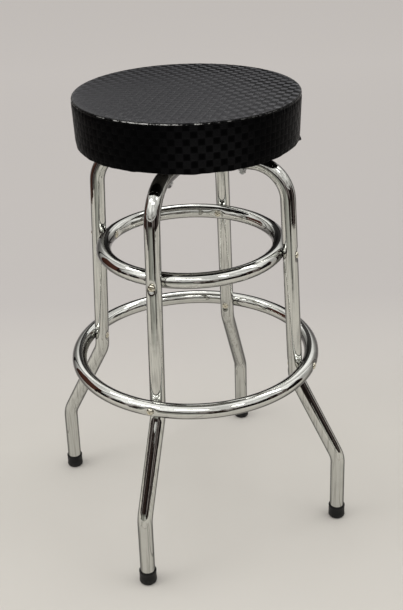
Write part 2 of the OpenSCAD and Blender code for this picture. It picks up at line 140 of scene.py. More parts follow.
class StoolFinish(bpy.types.PropertyGroup):
    """Colours of the finishes."""

    chrome: colour("Chrome", "Chrome plating", (0.70, 0.705, 0.67))
    zinc: colour("Zinc", "Yellowish zinc plating of the screws", (0.74, 0.70, 0.58))
    vinyl: colour("Vinyl", "Seat cover", (0.0022, 0.0022, 0.0025))
    dust: colour("Dust", "Dulled top of the seat cover", (0.022, 0.022, 0.0255))
    rubber: colour("Rubber", "Foot caps", (0.012, 0.012, 0.012))


class StoolStage(bpy.types.PropertyGroup):
    """Floor, light and camera."""

    floor: colour("Floor", "Colour of the floor", (0.655, 0.627, 0.584))
    backdrop: colour("Backdrop", "Colour that the floor takes further back", (0.552, 0.524, 0.509))
    lens: FloatProperty(name="Lens", description="Focal length", default=58.13, unit="CAMERA")


# ---------- helpers for shapes ----------


def clear_selection():
    if bpy.context.object and bpy.context.object.mode != "OBJECT":
        bpy.ops.object.mode_set(mode="OBJECT")
    bpy.ops.object.select_all(action="DESELECT")


def take(piece):
    """Makes piece the only selected and active object."""
    clear_selection()
    piece.select_set(True)
    bpy.context.view_layer.objects.active = piece


def newest(name):
    """Names the object that was just made."""
    piece = bpy.context.object
    piece.name = piece.data.name = name
    return piece


def set_in_place():
    bpy.ops.object.transform_apply(location=True, rotation=True, scale=True)


def edit_all():
    """Enters edit mode with the whole mesh selected."""
    bpy.ops.object.mode_set(mode="EDIT")
    bpy.ops.mesh.select_all(action="SELECT")


def leave_edit():
    bpy.ops.object.mode_set(mode="OBJECT")


def with_modifier(piece, kind, **settings):
    """Gives piece a modifier with these settings and applies it."""
    take(piece)
    bpy.ops.object.modifier_add(type=kind)
    for key, value in settings.items():
        setattr(piece.modifiers[-1], key, value)
    bpy.ops.object.modifier_apply(modifier=piece.modifiers[-1].name)


def points_of(piece):
    co = np.empty(len(piece.data.vertices) * 3)
    piece.data.vertices.foreach_get("co", co)
    return co.reshape(-1, 3)


def move_points(piece, co):
    piece.data.vertices.foreach_set("co", np.ascontiguousarray(co, float).ravel())
    piece.data.update()


def soft_min(a, b, width):
    """The lower of a and b, rounded over where they cross."""
    h = np.clip(0.5 + 0.5 * (b - a) / width, 0, 1)
    return b * (1 - h) + a * h - width * h * (1 - h)


def soft_max(a, b, width):
    return -soft_min(-a, -b, width)


def smooth_step(x, low, high):
    t = np.clip((x - low) / (high - low), 0, 1)
    return t * t * (3 - 2 * t)


def unit(v):
    return v / np.linalg.norm(v)


def close_and_smooth(piece, angle=40):
    take(piece)
    edit_all()
    bpy.ops.mesh.remove_doubles(threshold=0.000002)
    bpy.ops.mesh.fill_holes(sides=0)
    bpy.ops.mesh.select_all(action="SELECT")
    bpy.ops.mesh.normals_make_consistent(inside=False)
    leave_edit()
    bpy.ops.object.shade_smooth_by_angle(angle=math.radians(angle))


def disc(name, sides, radius, height):
    clear_selection()
    bpy.ops.mesh.primitive_circle_add(
        vertices=sides, radius=radius, fill_type="NGON", location=(0, 0, height)
    )
    piece = newest(name)
    set_in_place()
    return piece


def turned(name, profile, sides=48):
    """A solid turned about the upright axis from a list of radius and height pairs."""
    (r, z), *rest = profile
    piece = disc(name, sides, r, z)
    edit_all()
    for next_r, next_z in rest:
        bpy.ops.mesh.extrude_region_move(TRANSFORM_OT_translate={"value": (0, 0, next_z - z)})
        bpy.ops.transform.resize(value=(next_r / r, next_r / r, 1), center_override=(0, 0, 0))
        r, z = next_r, next_z
    leave_edit()
    close_and_smooth(piece)
    return piece


def placed_copy(piece, name, steps):
    """A copy with its own mesh, moved to a place or turned about y or z at each of steps."""
    twin = piece.copy()
    twin.data = piece.data.copy()
    twin.name = name
    bpy.context.scene.collection.objects.link(twin)
    take(twin)
    for kind, value in steps:
        if kind == "move":
            twin.location = value
        else:
            twin.rotation_euler["xyz".index(kind)] = value
        set_in_place()
    return twin


def joined(pieces, name):
    clear_selection()
    for piece in pieces:
        piece.select_set(True)
    bpy.context.view_layer.objects.active = pieces[0]
    bpy.ops.object.join()
    return newest(name)


def finish_piece(piece, body, slot, material, *nodes):
    """Gives a piece its material, the body it rides on and the nodes it stands for."""
    piece.data.materials.clear()
    piece.data.materials.append(material)
    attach(piece, body)
    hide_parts(*nodes)


def paint_nodes(material, *names):
    for name in names:
        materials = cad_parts[name].data.materials
        materials.clear()
        materials.append(material)


# ---------- helpers for materials ----------


def rgba(c, k=1.0):
    return (c[0] * k, c[1] * k, c[2] * k, 1.0)


class Nodes:
    """Adds nodes to a tree. A value is a socket to link, a number or a colour."""

    def __init__(self, tree):
        self.tree = tree

    def fill(self, node, values):
        """Links or sets the node's inputs."""
        for key, value in values.items():
            if isinstance(value, bpy.types.NodeSocket):
                self.tree.links.new(value, node.inputs[key])
            else:
                node.inputs[key].default_value = value

    def add(self, kind, values=None, **settings):
        node = self.tree.nodes.new("ShaderNode" + kind)
        for key, value in settings.items():
            setattr(node, key, value)
        self.fill(node, values or {})
        return node

    def calc(self, operation, a, b=0.0, c=0.0, clamp=False):
        values = {0: a, 1: b, 2: c}
        return self.add("Math", values, operation=operation, use_clamp=clamp).outputs[0]

    def times(self, a, b):
        return self.calc("MULTIPLY", a, b)

    def scaled(self, a, b, c):
        """a times b, plus c."""
        return self.calc("MULTIPLY_ADD", a, b, c)

    def most(self, a, b):
        return self.calc("MAXIMUM", a, b)

    def rest(self, a):
        """What is left of 1 after a."""
        return self.calc("SUBTRACT", 1.0, a)

    def span(self, value, a, b, c=0.0, d=1.0):
        """c where value is a, d where it is b, and a straight way between them."""
        values = {"Value": value, "From Min": a, "From Max": b, "To Min": c, "To Max": d}
        return self.add("MapRange", values, clamp=True).outputs[0]

    def between(self, value, low, high):
        """1 where value lies between low and high."""
        above = self.calc("GREATER_THAN", value, low)
        return self.times(above, self.calc("LESS_THAN", value, high))

    def mix(self, share, a, b):
        """The colour a, and b where share is 1."""
        return self.add("Mix", {0: share, 6: a, 7: b}, data_type="RGBA").outputs[2]

    def blend(self, share, a, b):
        """The shader a, and b where share is 1."""
        return self.add("MixShader", {0: share, 1: a, 2: b}).outputs[0]

    def place(self):
        return self.add("TexCoord").outputs["Object"]

    def axes(self, vector):
        return self.add("SeparateXYZ", {0: vector}).outputs

    def stretched(self, vector, scale):
        return self.add("Mapping", {"Vector": vector, "Scale": scale}).outputs[0]

    def noise(self, vector, scale, detail, **more):
        values = {"Vector": vector, "Scale": scale, "Detail": detail, **more}
        return self.add("TexNoise", values).outputs["Fac"]

    def ramp(self, share, *stops):
        """Colours at their positions along share."""
        node = self.add("ValToRGB", {0: share})
        elements = node.color_ramp.elements
        for element, stop in ((elements[0], stops[0]), (elements[1], stops[-1])):
            element.position, element.color = stop
        for position, tone in stops[1:-1]:
            elements.new(position).color = tone
        return node.outputs[0]

    def bump(self, height, distance, strength):
        values = {"Height": height, "Distance": distance, "Strength": strength}
        return self.add("Bump", values).outputs["Normal"]

    def group(self, name, make, values):
        """The outputs of the group that make builds at its first use."""
        node = self.add("Group", node_tree=bpy.data.node_groups.get(name) or make(name))
        self.fill(node, values)
        return node.outputs


def new_group(name, numbers, results):
    """A group that takes a vector and numbers, with their defaults, and gives results."""
    tree = bpy.data.node_groups.new(name, "ShaderNodeTree")
    tree.interface.new_socket("Vector", in_out="INPUT", socket_type="NodeSocketVector")
    for label, default in numbers.items():
        socket = tree.interface.new_socket(label, in_out="INPUT", socket_type="NodeSocketFloat")
        socket.default_value = default
    for label in results:
        tree.interface.new_socket(label, in_out="OUTPUT", socket_type="NodeSocketFloat")
    given = tree.nodes.new("NodeGroupInput").outputs
    return tree, Nodes(tree), given, tree.nodes.new("NodeGroupOutput")


def bare_material(name):
    material = bpy.data.materials.new(name)
    material.use_nodes = True
    material.node_tree.nodes.clear()
    n = Nodes(material.node_tree)
    return material, n, n.add("OutputMaterial")


def new_material(name):
    material, n, out = bare_material(name)
    shader = n.add("BsdfPrincipled")
    n.fill(out, {"Surface": shader.outputs["BSDF"]})
    return material, n, shader


def made_once(make):
    """Lets a finish be made only when no material has its name yet."""

    def finish(name, *facts):
        return bpy.data.materials.get(name) or make(name, *facts)

    return finish


def handled_metal_group(name):
    """Fingerprints and a slight unevenness of plated metal."""
    numbers = {"Smudge Size": 30.0, "Wave Size": 60.0}
    tree, n, given, made = new_group(name, numbers, ("Smudges", "Height"))
    smudge = n.noise(given["Vector"], given["Smudge Size"], 5.0, Roughness=0.6)
    wave = n.noise(given["Vector"], given["Wave Size"], 1.0)
    n.fill(made, {"Smudges": n.span(smudge, 0.48, 0.72), "Height": wave})
    return tree


def woven_squares_group(name):
    """Puffed squares whose fine ribs run along one way and then the other, like a plain weave."""
    numbers = {"Square": 0.01085, "Ribs": 5.0, "Emboss": 0.0003, "Rib Height": 0.00006}
    tree, n, given, made = new_group(name, numbers, ("Height", "Crosswise", "Pillow"))
    x, y, _ = n.axes(given["Vector"])
    u = n.calc("DIVIDE", x, given["Square"])
    v = n.calc("DIVIDE", y, given["Square"])
    tile = n.calc("ADD", n.calc("FLOOR", u), n.calc("FLOOR", v))
    odd = n.calc("FLOORED_MODULO", tile, 2.0)

    def puffed(t):
        """0 at a square's edge, and soon up to 1 towards its middle."""
        middle = n.rest(n.calc("ABSOLUTE", n.scaled(n.calc("FRACT", t), 2.0, -1.0)))
        return n.rest(n.calc("POWER", n.rest(middle), 3.0))

    def ribbed(t):
        part = n.calc("FRACT", n.times(t, given["Ribs"]))
        return n.calc("SINE", n.times(part, math.pi))

    pillow = n.times(puffed(u), puffed(v))
    rib = n.calc("ADD", n.times(ribbed(u), n.rest(odd)), n.times(ribbed(v), odd))
    raised = n.times(pillow, given["Emboss"])
    height = n.calc("ADD", raised, n.times(rib, given["Rib Height"]))
    n.fill(made, {"Height": height, "Crosswise": odd, "Pillow": pillow})
    return tree


# ---------- finishes ----------


def handled(n, smudge, wave):
    values = {"Vector": n.place(), "Smudge Size": smudge, "Wave Size": wave}
    return n.group("Handled Metal", handled_metal_group, values)


@made_once
def chrome_finish(name, streaked):
    """Chrome, with faint dark streaks painted up the tube as reflected stripes, and dark
    reflections painted along its edges.
    """
    chrome = bpy.context.scene.stool_finish.chrome
    material, n, shader = new_material(name)
    worn = handled(n, 45.0, 70.0)
    tint = n.mix(worn["Smudges"], rgba(chrome), rgba(chrome, 0.94))
    # Painted reflection: faint dark streaks run up the tube, standing in for thin marks that the
    # chrome would mirror from its surroundings.
    painted_streaks = n.noise(n.stretched(n.place(), (330.0, 330.0, 9.0)), 1.0, 3.0)
    tint = n.mix(n.times(n.span(painted_streaks, 0.50, 0.66), streaked), tint, rgba(chrome, 0.35))
    # Painted reflection: the base colour turns dark towards the tube's edges, as if a dark
    # surround were mirrored there.
    facing = n.add("LayerWeight", {"Blend": 0.5}).outputs["Facing"]
    edge = n.span(facing, 0.44, 0.66, 0.0, 0.95)
    n.fill(
        shader,
        {
            "Base Color": n.mix(edge, tint, (0.02, 0.017, 0.015, 1)),
            "Metallic": 1.0,
            "Roughness": n.scaled(worn["Smudges"], 0.05, 0.035),
            "Normal": n.bump(worn["Height"], 0.0004, 0.25),
        },
    )
    return material


@made_once
def plated_finish(name, tone, rough=0.28, dulled=0.85, smudge=220.0):
    """Plated steel or brass, rougher and darker where it is smudged."""
    material, n, shader = new_material(name)
    worn = handled(n, smudge, 400.0)
    n.fill(
        shader,
        {
            "Base Color": n.mix(worn["Smudges"], rgba(tone), rgba(tone, dulled)),
            "Metallic": 1.0,
            "Roughness": n.scaled(worn["Smudges"], 0.18, rough),
            "Normal": n.bump(worn["Height"], 0.0002, 0.3),
        },
    )
    return material


@made_once
def rubber_finish(name):
    """Black rubber, dusty towards the floor."""
    material, n, shader = new_material(name)
    place = n.place()
    low = n.span(n.axes(place)[2], 0.0, 0.012, 0.35, 0.02)
    dusty = n.times(n.span(n.noise(place, 160.0, 4.0), 0.4, 0.7), low)
    tone = rgba(bpy.context.scene.stool_finish.rubber)
    n.fill(
        shader,
        {
            "Base Color": n.mix(dusty, tone, (0.10, 0.095, 0.088, 1.0)),
            "Roughness": n.scaled(dusty, 0.5, 0.42),
            "Specular IOR Level": 0.15,
            "Normal": n.bump(n.noise(place, 1800.0, 3.0), 0.0002, 0.35),
        },
    )
    return material


@made_once
def vinyl_finish(name):
    """Embossed black vinyl: worn and dusty on top, with painted sheen on its squares and a painted
    highlight broken along its rolled edge.
    """
    seat = bpy.context.scene.stool_seat
    finish = bpy.context.scene.stool_finish
    material, n, shader = new_material(name)
    weave = n.group(
        "Woven Squares",
        woven_squares_group,
        {
            "Vector": n.add("UVMap", uv_map="cover").outputs[0],
            "Square": seat.square,
            "Ribs": float(seat.ribs),
            "Emboss": seat.emboss,
            "Rib Height": seat.rib_height,
        },
    )
    place = n.place()
    height = n.axes(place)[2]
    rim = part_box("cover_top_panel")[0].z + 0.004
    lying = n.span(height, rim - 0.0005, rim - 0.0001)
    edge = n.span(height, rim - 0.0045, rim - 0.0030)
    rolled = n.calc("SUBTRACT", edge, lying, clamp=True)
    wear = n.noise(place, 22.0, 4.0)
    full = n.calc("POWER", weave["Pillow"], 0.4)
    woven = n.times(weave["Crosswise"], full)
    sunk = n.times(n.rest(weave["Crosswise"]), full)

    def near(spot, low, high):
        """1 close to a spot and 0 away from it."""
        way = n.add("VectorMath", {0: place, 1: spot}, operation="DISTANCE")
        return n.span(way.outputs["Value"], low, high, 1.0, 0.0)

    # Painted sheen: the side's crosswise squares are painted lighter than the others, most in one
    # patch at the right front, as if light caught their ribs there.
    uneven = n.span(wear, 0.3, 0.6, 0.6, 1.0)
    sheen_patch = n.times(near((0.088, -0.155, 0.705), 0.015, 0.085), uneven)
    sheen_squares = n.times(n.rest(sunk), n.scaled(sheen_patch, 0.9, 0.1))
    side = n.mix(sheen_squares, rgba(finish.vinyl, 0.6), rgba(finish.vinyl, 2.7))

    # Painted sheen: further back, the top's crosswise squares are painted lighter and the others
    # darker, as if light caught their ribs; in front the top keeps one dusty tone.
    rear_sheen = n.times(n.rest(near((-0.04, -0.13, 0.765), 0.10, 0.27)), uneven)
    dulled = n.mix(woven, rgba(finish.dust, 0.05), rgba(finish.dust, 2.2))
    dulled = n.mix(rear_sheen, rgba(finish.dust), dulled)

    # Painted highlight: light flecks broken along the corner of the rolled edge, in front and a
    # little at the right, where the rim would catch glints of light.
    glint_breaks = n.noise(place, 75.0, 3.0, Roughness=0.7)
    corner = n.between(height, rim - 0.0026, rim - 0.0012)
    painted_rim_glints = n.times(corner, n.span(glint_breaks, 0.47, 0.56))
    front = near((0.025, -0.176, rim), 0.05, 0.115)
    right = n.times(near((0.140, -0.108, rim), 0.03, 0.07), 0.12)
    painted_rim_glints = n.times(painted_rim_glints, n.most(front, right))
    side = n.mix(painted_rim_glints, side, (0.55, 0.55, 0.54, 1.0))

    rough = n.scaled(wear, 0.12, n.scaled(woven, -0.06, 0.30))
    gloss = n.scaled(rolled, 0.04, n.scaled(sheen_squares, 0.06, 0.014))
    lift = n.times(rear_sheen, 0.42)
    top_gloss = n.scaled(n.calc("SUBTRACT", woven, 0.45), lift, 0.205)
    grained = n.scaled(n.noise(place, 2600.0, 2.0), 0.00002, weave["Height"])
    n.fill(
        shader,
        {
            "Base Color": n.mix(lying, side, dulled),
            "Roughness": n.scaled(rolled, -0.24, rough),
            "Specular IOR Level": n.scaled(lying, n.calc("SUBTRACT", top_gloss, gloss), gloss),
            "Normal": n.bump(grained, 1.0, 1.0),
        },
    )
    return material


@made_once
def plywood_finish(name):
    """Dark plywood: drawn grain, open pores and the plies at its edge."""
    material, n, shader = new_material(name)
    place = n.place()
    grain = n.noise(n.stretched(place, (6.0, 90.0, 6.0)), 3.0, 6.0, Distortion=0.6)
    pores = n.noise(n.stretched(place, (40.0, 900.0, 40.0)), 3.0, 3.0)
    wood = n.ramp(grain, (0.3, (0.004, 0.0033, 0.0028, 1)), (0.7, (0.009, 0.0068, 0.0055, 1)))
    ply = n.calc("FLOOR", n.calc("DIVIDE", n.axes(place)[2], 0.0017))
    plies = n.times(n.calc("FLOORED_MODULO", ply, 2.0), 0.45)
    wood = n.mix(plies, wood, (0.003, 0.0025, 0.002, 1))
    open_pores = n.times(n.span(pores, 0.55, 0.75), 0.4)
    n.fill(
        shader,
        {
            "Base Color": n.mix(open_pores, wood, (0.018, 0.014, 0.011, 1)),
            "Roughness": 0.7,
            "Normal": n.bump(pores, 0.0003, 0.4),
        },
    )
    return material


@made_once
def foam_finish(name):
    """Yellowed open foam."""
    material, n, shader = new_material(name)
    place = n.place()
    cells = n.add("TexVoronoi", {"Vector": place, "Scale": 900.0}).outputs["Distance"]
    stain = n.noise(place, 14.0, 3.0)
    n.fill(
        shader,
        {
            "Base Color": n.mix(stain, (0.78, 0.72, 0.50, 1), (0.66, 0.56, 0.30, 1)),
            "Roughness": 0.95,
            "Normal": n.bump(cells, 0.0008, 0.8),
        },
    )
    return material


# ---------- stage ----------

ROOM_RADIUS, ROOM_HEIGHT = 1.5, 2.0
STRIP_HEIGHT, STRIP_WIDTH = 2.5, 0.26
LAMP_AIM = np.array((0, 0, 0.4))

# Zones of the dim room: turns from the camera's side in radians, and heights in metres.
DARK_TURNS, DARK_FOOT = (-2.15, 1.7), 0.10
LOW_TURNS = (-0.98, 0.62)
POST_TURNS = (-0.98, -0.84)
GAP_TURNS, GAP_HEIGHTS = (-1.5, 0.95), (0.693, 0.775)
SPOT_TURNS, SPOT_HEIGHTS = (-0.2, 0.05), (0.655, 0.672)
REDDISH_TURNS, REDDISH_HEIGHTS = (-2.15, -1.6), (0.5, 1.2)
BEHIND_TURN, BEHIND_HEIGHTS = 2.85, (0.45, 1.35)

# Tiles of the shaded floor: their turn, half their side, and the shift of each row of joints.
TILE_TURN, HALF_TILE, JOINT_SHIFTS = CAMERA_TURN + 0.14, 0.154, (0.05, 0.11)
BAND_START = 1.02


def camera_side(n):
    """A place's axes, how far it lies towards the camera's side, and how far beside it."""
    x, y, z = n.axes(n.place())
    s, c = math.sin(CAMERA_TURN), math.cos(CAMERA_TURN)
    ahead = n.scaled(x, s, n.times(y, -c))
    beside = n.scaled(x, c, n.times(y, s))
    return (x, y, z), ahead, beside


def lower_wall(n, turn, low, high):
    """Greyish wall that pales towards a dark doorway between low and high, and a dark post."""
    tone = n.mix(n.span(turn, -0.8, 0.0), (0.22, 0.22, 0.19, 1), (0.44, 0.44, 0.40, 1))
    tone = n.mix(n.between(turn, *POST_TURNS), tone, (0.03, 0.03, 0.028, 1))
    return n.mix(n.between(turn, low, high), tone, (0.018, 0.012, 0.010, 1))


def half_clear(n, out, share, tone):
    """A glow of one tone where share is 1, and nothing where it is 0."""
    glow = n.add("Emission", {"Color": tone, "Strength": 1.0})
    clear = n.add("BsdfTransparent")
    n.fill(out, {"Surface": n.blend(share, clear.outputs[0], glow.outputs[0])})


class STOOL_OT_stage(bpy.types.Operator):
    """Lays a plain pale floor, hangs soft studio lights and sets the camera"""

    bl_idname = "stool.stage"
    bl_label = "Stage"

    def execute(self, context):
        stage = context.scene.stool_stage
        floor = disc("floor", 96, 9.0, -0.0002)
        floor.data.materials.append(self.pale_floor(stage))
        self.light_room(context)
        self.hang_screens()
        self.set_camera(context, stage)
        context.scene.view_settings.view_transform = "Standard"
        return {"FINISHED"}

    def pale_floor(self, stage):
        material, n, shader = new_material("Pale Floor")
        place = n.place()
        patches = n.noise(place, 3.0, 3.0)
        near = n.mix(patches, rgba(stage.floor, 0.97), rgba(stage.floor, 1.03))
        x, y, _ = n.axes(place)
        beyond = n.scaled(x, -math.sin(CAMERA_TURN), n.times(y, math.cos(CAMERA_TURN)))
        middle = n.mix(n.span(beyond, 0.15, 0.8), near, rgba(stage.backdrop))
        far = n.mix(n.span(beyond, 1.0, 3.3), middle, rgba(stage.backdrop, 1.18))
        n.fill(shader, {"Base Color": far, "Roughness": 0.9, "Specular IOR Level": 0.0})
        return material

    def light_room(self, context):
        world = bpy.data.worlds.new("Pale Room")
        context.scene.world = world
        world.use_nodes = True
        world.node_tree.nodes.clear()
        n = Nodes(world.node_tree)
        out = n.add("OutputWorld")
        way = n.add("TexCoord").outputs["Generated"]
        uneven = n.noise(n.stretched(way, (2.6, 2.6, 0.7)), 1.0, 2.0)
        raised = n.span(n.axes(way)[2], 0.30, 0.46)
        walls = n.mix(raised, (0.62, 0.61, 0.59, 1), (1.25, 1.24, 1.22, 1))
        walls = n.mix(n.span(uneven, 0.45, 0.58, 0.0, 0.6), walls, (0.34, 0.33, 0.32, 1))
        seen, soft, plain = (
            n.add("Background", {"Color": tone, "Strength": strength}).outputs[0]
            for tone, strength in (
                (walls, 1.0),
                ((0.63, 0.625, 0.61, 1), 1.27),
                ((0.62, 0.61, 0.59, 1), 0.9),
            )
        )
        path = n.add("LightPath").outputs
        light = n.blend(path["Is Glossy Ray"], soft, seen)
        n.fill(out, {"Surface": n.blend(path["Is Camera Ray"], light, plain)})
        for name, place, size, power in (
            ("ceiling_light_left", (-1.3, -0.6, 2.6), (1.6, 0.8), 11.0),
            ("ceiling_light_right", (1.2, 0.4, 2.6), (1.6, 0.8), 11.0),
            ("window_light", (-2.2, -1.6, 1.9), (1.2, 1.4), 9.0),
        ):
            clear_selection()
            bpy.ops.object.light_add(type="AREA", location=place)
            lamp = bpy.context.object
            lamp.name = name
            lamp.data.shape = "RECTANGLE"
            lamp.data.size, lamp.data.size_y = size
            lamp.data.energy = power
            lamp.visible_glossy = False
            x, y, z = LAMP_AIM - np.array(place)
            lamp.rotation_euler = (
                math.atan2(math.hypot(x, y), -z),
                0,
                math.atan2(y, x) - QUARTER_TURN,
            )

    def only_reflected(self, screen, material):
        screen.data.materials.append(material)
        screen.visible_camera = screen.visible_diffuse = False
        screen.visible_shadow = screen.visible_transmission = False

    def hang_screens(self):
        """A dim room and strips of light that only the reflections show."""
        clear_selection()
        bpy.ops.mesh.primitive_cylinder_add(
            vertices=128,
            radius=ROOM_RADIUS,
            depth=ROOM_HEIGHT,
            end_fill_type="NOTHING",
            location=(0, 0, ROOM_HEIGHT / 2),
        )
        room = newest("dim_room")
        self.only_reflected(room, self.dim_room())
        shade = disc("floor_shade", 128, ROOM_RADIUS, 0.002)
        self.only_reflected(shade, self.floor_shade())
        strip, n, out = bare_material("Strip Light")
        glow = n.add("Emission", {"Color": (1.0, 0.99, 0.97, 1), "Strength": 9.0})
        n.fill(out, {"Surface": glow.outputs[0]})
        strips = (
            (-1.2, -1.5, 1.2),
            (0.5, -1.9, 1.2),
            (1.9, -1.0, 0.6),
            (-1.5, 0.3, 0.6),
            (1.3, 0.9, 1.2),
            (-0.3, 1.5, 0.6),
        )
        for k, (x, y, long) in enumerate(strips):
            clear_selection()
            bpy.ops.mesh.primitive_plane_add(size=1.0, location=(x, y, STRIP_HEIGHT))
            lamp = newest(f"strip_light_{k}")
            lamp.scale = (long, STRIP_WIDTH, 1)
            set_in_place()
            self.only_reflected(lamp, strip)

    def dim_room(self):
        material, n, out = bare_material("Dim Room")
        (_, _, height), ahead, beside = camera_side(n)
        turn = n.calc("ARCTAN2", beside, ahead)
        above = n.calc("ADD", height, ROOM_HEIGHT / 2)
        aside = n.calc("ABSOLUTE", turn)

        def around(speed, detail):
            values = {"W": n.times(turn, speed), "Scale": 1.0, "Detail": detail}
            return n.add("TexNoise", values, noise_dimensions="1D").outputs["Fac"]

        def zone(turns, heights):
            return n.times(n.between(above, *heights), n.between(turn, *turns))

        high = n.times(n.between(turn, *DARK_TURNS), n.calc("GREATER_THAN", above, DARK_FOOT))
        low = n.between(turn, *LOW_TURNS)
        level = n.times(n.span(around(4.0, 1.0), 0.35, 0.62, 0.72, 0.95), n.most(high, low))
        gap = n.most(zone(GAP_TURNS, GAP_HEIGHTS), zone(SPOT_TURNS, SPOT_HEIGHTS))
        front = n.calc("SUBTRACT", n.calc("LESS_THAN", above, level), gap, clamp=True)
        front = n.most(front, zone(REDDISH_TURNS, REDDISH_HEIGHTS))
        behind = n.calc("GREATER_THAN", aside, BEHIND_TURN)
        behind = n.times(behind, n.between(above, *BEHIND_HEIGHTS))
        front = n.most(front, n.times(behind, 0.92))
        posts = n.calc("PINGPONG", n.calc("ADD", turn, 0.11), 0.37)
        posts = n.times(n.calc("LESS_THAN", posts, 0.03), n.calc("GREATER_THAN", aside, 1.3))

        tone = n.ramp(
            around(3.6, 3.0),
            (0.45, (0.008, 0.007, 0.007, 1)),
            (0.54, (0.032, 0.017, 0.013, 1)),
            (0.64, (0.30, 0.27, 0.26, 1)),
        )
        tone = n.mix(n.between(turn, *REDDISH_TURNS), tone, (0.07, 0.028, 0.020, 1))
        sides = (n.span(above, 0.0, 0.2, a, b) for a, b in ((0.15, 0.0), (0.42, 0.62)))
        doorway = lower_wall(n, turn, *sides)
        tone = n.mix(n.times(n.span(above, 0.22, 0.40, 1.0, 0.0), low), tone, doorway)
        tone = n.mix(behind, tone, (0.016, 0.015, 0.014, 1))
        half_clear(n, out, n.most(front, posts), tone)
        return material

    def floor_shade(self):
        material, n, out = bare_material("Floor Shade")
        (x, y, _), ahead, beside = camera_side(n)
        turn = n.calc("ARCTAN2", beside, ahead)
        away = n.calc("SQRT", n.scaled(ahead, ahead, n.times(beside, beside)))
        band = n.times(n.span(away, BAND_START, 1.2, 0.0, 0.85), n.between(turn, *LOW_TURNS))
        close = n.span(away, 0.45, 0.75, 0.12, 0.0)
        s, c = math.sin(TILE_TURN), math.cos(TILE_TURN)
        joint = 0.0
        for (a, b), shift in zip(((c, s), (-s, c)), JOINT_SHIFTS):
            t = n.calc("ADD", n.scaled(x, a, n.times(y, b)), shift)
            t = n.calc("PINGPONG", t, HALF_TILE)
            joint = n.most(joint, n.span(t, 0.003, 0.007, 0.5, 0.0))
        outer = n.calc("GREATER_THAN", away, BAND_START)
        tone = n.mix(outer, (0.06, 0.055, 0.05, 1), lower_wall(n, turn, 0.15, 0.42))
        half_clear(n, out, n.most(n.most(band, close), joint), tone)
        return material

    def set_camera(self, context, stage):
        clear_selection()
        s, c = math.sin(CAMERA_TURN), math.cos(CAMERA_TURN)
        bpy.ops.object.camera_add(location=(CAMERA_AWAY * s, -CAMERA_AWAY * c, CAMERA_HEIGHT))
        camera = bpy.context.object
        camera.name = "camera"
        level = math.cos(CAMERA_PITCH)
        ahead = np.array(
            (math.sin(CAMERA_YAW) * level, math.cos(CAMERA_YAW) * level, math.sin(CAMERA_PITCH))
        )
        right = np.array((math.cos(CAMERA_YAW), -math.sin(CAMERA_YAW), 0))
        up = np.cross(right, ahead)
        tilt, lean = math.cos(CAMERA_ROLL), math.sin(CAMERA_ROLL)
        right, up = tilt * right + lean * up, -lean * right + tilt * up
        spin = np.array(((c, -s, 0), (s, c, 0), (0, 0, 1)))
        faced = Matrix((spin @ np.stack([right, up, -ahead], axis=1)).tolist())
        camera.rotation_mode = "QUATERNION"
        camera.rotation_quaternion = faced.to_quaternion()
        camera.data.lens = stage.lens
        camera.data.sensor_width = 36.0
        camera.data.clip_start = 0.01
        context.scene.camera = camera


# ---------- chromed tubes ----------

DIMPLE_SOFTNESS = 0.0009
DENT_SOFTNESS = 0.0006


def leg_radius(sizes, height):
    lean = (sizes.top_spread - sizes.knee_spread) / 2 / (sizes.run_height - sizes.knee_height)
    return sizes.knee_spread / 2 + lean * (height - sizes.knee_height)


def leg_lean(sizes):
    inward = (sizes.knee_spread - sizes.top_spread) / 2
    return math.atan2(inward, sizes.run_height - sizes.knee_height)


def foot_lean(sizes):
    return math.atan2(sizes.foot_spread - sizes.ankle_spread, 2 * sizes.ankle_height)


def dimpled(co, centre, outward, along, sizes):
    """Presses a screw head's dimple into the side of a tube that faces outward."""
    outward, along = np.array(outward, float), np.array(along, float)
    rel = co - np.array(centre)
    x, y, z = rel @ outward, rel @ np.cross(along, outward), rel @ along
    floor = sizes.tube_diameter / 2 - sizes.dimple_depth
    bow = (sizes.dimple_length / 2) ** 2 / (2 * sizes.dimple_depth)
    trough = floor + 0.00015 + bow - np.sqrt(np.maximum(bow**2 - z**2, 0))
    spot = np.where(np.hypot(y, z) < sizes.head_diameter / 2 + 0.0006, floor, 1.0)
    pressed = np.minimum(trough, spot)
    reach = (x > 0) & (np.abs(z) < 0.8 * sizes.dimple_length)
    new_x = np.where(reach, soft_min(x, pressed, DIMPLE_SOFTNESS), x)
    new_x = np.where(reach & (x > floor * 0.5), np.maximum(new_x, np.minimum(x, floor)), x)
    return co + (new_x - x)[:, None] * outward


def dented(co, outward, ring_radius, ring_height, sizes, side):
    """Presses the dent that a ring lies in. side is +1 where the ring lies inside the legs."""
    outward = np.array(outward, float)
    x = co @ outward
    room = sizes.tube_diameter / 2 + sizes.saddle_gap
    dz = co[:, 2] - ring_height
    beside = co - x[:, None] * outward
    beside[:, 2] = 0
    y = np.linalg.norm(beside, axis=1)
    centre = np.sqrt(np.maximum(ring_radius**2 - y**2, 0))
    half = np.sqrt(np.maximum(room**2 - dz**2, 0))
    near = (np.abs(dz) < room) & (x > 0.05)
    pressed = soft_max if side > 0 else soft_min
    new_x = pressed(x, centre + side * half, DENT_SOFTNESS)
    return co + np.where(near, new_x - x, 0)[:, None] * outward


